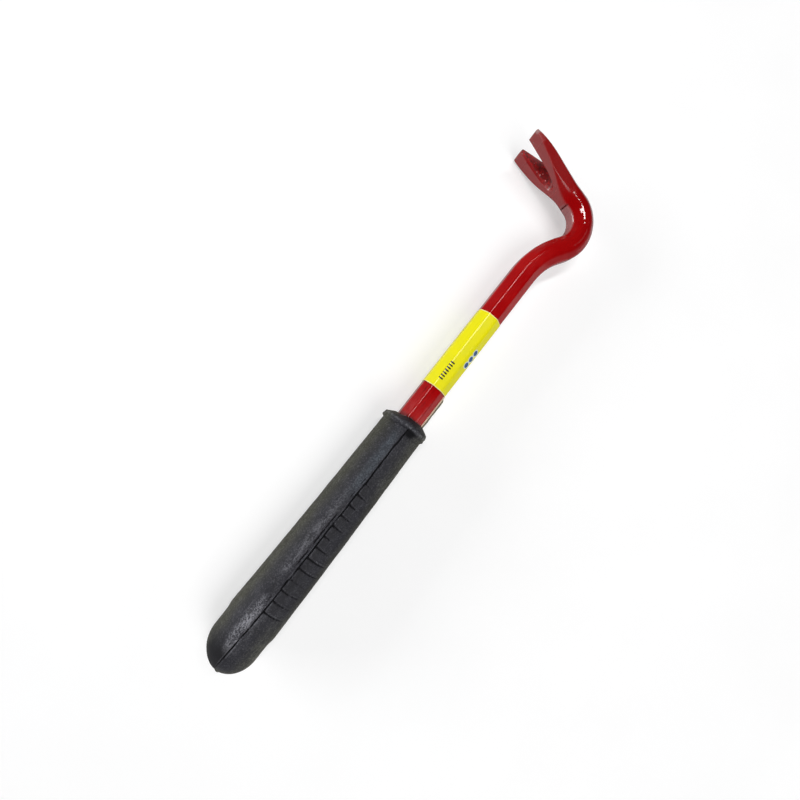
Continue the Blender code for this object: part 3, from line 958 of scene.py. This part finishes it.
def makeFoil():
    finish = Finish("yellowFoil", Specular_IOR_Level=0.5, IOR=1.47)
    place = finish.place()
    x, y, z = finish.axes(place)
    along = x - labelLow.x
    across = y - axisY
    cloud = finish.grain(place, 7.0, 4.0)
    screen = finish.grain(place, 0.35, 2.0, 0.6)

    dashes = 0.0
    for k in range(foil["dashes"]):
        middle = foil["dashStart"] + foil["dashPitch"] * k + foil["dashLength"] / 2
        dashes = printed(abs(along - middle), foil["dashLength"] / 2) + dashes
    onTop = z.step(axisZ + 7.0, axisZ + 7.3)
    dashes = dashes * printed(abs(across - foil["dashY"]), foil["dashHeight"] / 2) * onTop

    slant = (-across - (z - axisZ)) * sqrt(0.5)                # runs down the -Y slanted flat
    onSlant = (-across).step(2.0, 3.4) * z.step(axisZ + 1.0, axisZ + 2.0)
    fromDotY = slant - foil["dotAcross"]
    halo = core = 0.0
    for k in range(foil["dots"]):
        fromDotX = along - (foil["dotStart"] + foil["dotPitch"] * k)
        reach = (fromDotX * fromDotX + fromDotY * fromDotY).math("SQRT")
        halo = 1 - reach.step(foil["dotRadius"] + 0.3, foil["dotRadius"] + 0.8) + halo
        core = 1 - reach.step(foil["dotRadius"] - 0.15, foil["dotRadius"] + 0.1) + core

    border, inner = foil["borderWidth"], foil["borderWidth"] * 0.7
    length = labelHigh.x - labelLow.x
    endward = 1 - along.step(inner, border) + along.step(length - border, length - inner)
    grime = finish.grain(finish.scaled(place, (0.3, 1, 1)), 1.2, 5.0, 0.7).step(0.62, 0.8)

    colour = finish.blend(0.6 * cloud.step(0.4, 0.8) + 0.25 * screen, foil["yellow"], foil["shade"])
    layers = [
        (dashes * (0.9 + 0.3 * screen), "ink"),
        (halo * onSlant, "halo"),
        (core * onSlant, "blue"),
        (endward * 0.85, "border"),
        (grime * 0.16, "grime"),
    ]
    colour = finish.coats(colour, layers, foil)

    rough = 0.17 + 0.12 * cloud + 0.2 * grime + 0.3 * endward
    wrinkle = finish.grain(finish.scaled(place, (0.35, 1.0, 1.0)), 5.0, 3.0, 0.5)
    blister = finish.cells(place, 4.2).step(0.12, 0.0)
    normal = finish.bump(wrinkle, 0.5, 0.16)
    normal = finish.bump(blister + 0.08 * screen, 0.3, 0.05, normal)
    return finish.wear(Base_Color=colour, Roughness=rough, Normal=normal)


# Paper sticker

paper = {
    "gap": 0.12,
    "thickness": 0.3,
    "fold": 1.0,                   # up onto the shank's slanted flat
    "flap": 1.7,                   # and out from under the shank
    "flapRise": 1.6,               # its height, for its reach
    "flapGap": 0.36,               # clear of the wrapped sheet
    "flapLap": 1.0,                # along the bottom flat
    "curl": 0.12,
    "cream": (0.66, 0.46, 0.33),
    # painted shade on the flap standing out from under the shank, and stains
    "grey": (0.26, 0.26, 0.20),
    "pulp": (0.74, 0.57, 0.45),
}


def paperLines(x, offset):                 # two (y, z) lines: wrapped round the shank, and the flap
    half = halfFlats + offset
    cut = cornerCut(half)
    ragged = paper["curl"] * wobble(x, offset * 0.2, scale=4.0)
    fold = (paper["fold"] + ragged) * sqrt(0.5)
    flap = paper["flap"] * mix(0.45, 1.0, ease(stickerHigh.x - x, -0.5, 2.5)) + ragged
    wrapped = [
        Vector((half - cut, -half)), Vector((-half + cut, -half)), Vector((-half, -half + cut)),
        Vector((-half, half - cut)), Vector((-half + fold, half - cut + fold)),
    ]
    away = paper["flapGap"]
    flapped = [
        Vector((-half + cut - paper["flapLap"], -half - away)), Vector((-half + cut, -half - away)),
        Vector((-half - away, -half + cut - away)),
        Vector((-half - flap, -half + cut + paper["flapRise"] * flap)),
    ]
    return (
        softLine(wrapped, [1.0, 1.6, 0.8], (8, 6, 6, 2), 4),
        softLine(flapped, [1.0, 2.4], (2, 6, 6), 4),
    )


def makeSticker(finish):
    bm = bmesh.new()
    count = 40
    for sheet in (0, 1):
        rows = []
        for k in range(count + 1):
            x = mix(stickerLow.x, stickerHigh.x, k / count)
            outer = paperLines(x, paper["gap"] + paper["thickness"])[sheet]
            inner = paperLines(x, paper["gap"])[sheet]
            rows.append([Vector((x, axisY + y, axisZ + z)) for y, z in outer + inner[::-1]])
        tube(bm, rows)
    makePiece("paperSticker", bm, finish, "paper_sticker", sharp=50)


def makePaper():
    finish = Finish("palePaper", Specular_IOR_Level=0.3)
    place = finish.place()
    y = finish.axes(place)[1]
    fibre = finish.grain(finish.scaled(place, (0.4, 1.0, 1.0)), 0.5, 6.0, 0.7, 0.8)
    stain = finish.grain(place, 3.5, 4.0)
    # painted shade on the flap standing out from under the shank, mixed with stains
    outward = (axisY - halfFlats - 0.65 - y).step(0.0, 0.3)
    colour = finish.blend(fibre, paper["cream"], paper["pulp"])
    colour = finish.blend((outward * 0.8 + 0.3 * stain).step(0.3, 0.9), colour, paper["grey"])
    normal = finish.bump(fibre, 0.5, 0.06)
    return finish.wear(Base_Color=colour, Roughness=0.72 + 0.2 * fibre, Normal=normal)


makeBar(makeEnamel())
makeGrip(makeRubber())
makeLabel(makeFoil())
makeSticker(makePaper())
print("object dressed")


# Floor, light and camera

studio = {
    "floorSize": 40.0,                     # metres, as are the other lengths of the studio
    "floor": (0.58, 0.58, 0.58),
    "floorStain": (0.62, 0.62, 0.62),
    "floorLift": 0.42,                     # glow that only the camera sees, so that the floor reads white
    "skyTint": (0.93, 0.94, 1.0),
    "sky": 0.31,                           # horizon's glow
    "skyAhead": -0.29,                     # what it gains towards +X
    "skyLeft": -0.05,                      # and towards +Y
    "skyTop": 0.015,
    "lamps": {                             # place, size, turn, energy
        "window": ((0.35, 0.17, 1.0), (0.82, 0.09), -0.56, 5.4),
        "fill": ((-0.40, -0.85, 1.35), (1.1, 1.1), 0.0, 14.5),
        "strip": ((-0.55, 1.55, 0.44), (1.2, 0.48), 0.0, 19.0),
        "panel": ((1.0, -0.62, 1.0), (0.3, 0.3), 0.0, 0.1),         # hardly a glint
    },
}


def makeFloor():
    bm = bmesh.new()
    bmesh.ops.create_grid(bm, x_segments=12, y_segments=12, size=studio["floorSize"] / 2)
    mesh = bpy.data.meshes.new("floor")
    bm.to_mesh(mesh)
    bm.free()
    plane = bpy.data.objects.new("floor", mesh)
    bpy.context.collection.objects.link(plane)

    finish = Finish("paleFloor", Roughness=0.85)
    place = finish.place()
    x, y = finish.axes(place)[:2]
    away = (x * x + y * y).math("SQRT").step(340.0, 1100.0)
    tone = finish.grain(place, 60.0, 3.0)
    finish.wear(Base_Color=finish.blend(tone, studio["floor"], studio["floorStain"]))
    lift = mix(studio["floorLift"], 1.0, away)
    glow = finish.node("ShaderNodeEmission", None, {"Strength": finish.cameraRay() * lift})
    both = finish.node(
        "ShaderNodeAddShader", None, {0: Value(finish, finish.shader.outputs[0]), 1: glow})
    finish.feed(finish.tree.nodes["Material Output"].inputs["Surface"], both)
    mesh.materials.append(finish.material)


def makeLamps():
    for name, (place, size, turn, energy) in studio["lamps"].items():
        data = bpy.data.lights.new(name, "AREA")
        data.shape = "RECTANGLE"
        data.size, data.size_y = size
        data.energy = energy
        lamp = bpy.data.objects.new(name, data)
        lamp.location = place
        toTarget = -Vector(place).normalized()
        across = Vector((cos(turn), sin(turn), 0))
        upward = across.cross(toTarget).normalized()
        across = toTarget.cross(upward)
        lamp.rotation_euler = Matrix((across, upward, -toTarget)).transposed().to_euler()
        bpy.context.collection.objects.link(lamp)


def makeWorld():
    world = bpy.data.worlds.new("studio")
    bpy.context.scene.world = world
    sky = Graph(world)
    x, y, z = sky.axes(sky.node("ShaderNodeTexCoord", out="Generated"))
    low = 1 - z.step(0.05, 0.55)
    glow = low * (studio["sky"] + studio["skyAhead"] * x + studio["skyLeft"] * y) + studio["skyTop"]
    camera = sky.cameraRay()
    back = sky.tree.nodes["Background"]
    sky.feed(back.inputs["Color"], sky.blend(camera, studio["skyTint"], (1, 1, 1)))
    sky.feed(back.inputs["Strength"], mix(glow, 1.0, camera))


def makeCamera():
    view = {
        "eye": Vector((-19.32, 26.16, 238.84)) * mm,
        "aim": Vector((3.58, -4.75, 0.0)) * mm,
        "upward": radians(38.71),          # compass direction that is up in the picture
        "focal": 394.07,                   # in pixels of the picture
        "picture": 800,                    # pixels across
    }
    ahead = (view["aim"] - view["eye"]).normalized()
    right = ahead.cross(Vector((cos(view["upward"]), sin(view["upward"]), 0))).normalized()
    up = right.cross(ahead)
    data = bpy.data.cameras.new("camera")
    data.sensor_width = 36.0
    data.lens = view["focal"] / view["picture"] * data.sensor_width
    data.clip_start = 0.01
    camera = bpy.data.objects.new("camera", data)
    camera.location = view["eye"]
    camera.rotation_euler = Matrix((right, up, -ahead)).transposed().to_euler()
    bpy.context.collection.objects.link(camera)
    bpy.context.scene.camera = camera


makeFloor()
makeLamps()
makeWorld()
makeCamera()
bpy.context.scene.view_settings.view_transform = "Standard"

bpy.context.view_layer.update()
print("scene finished")
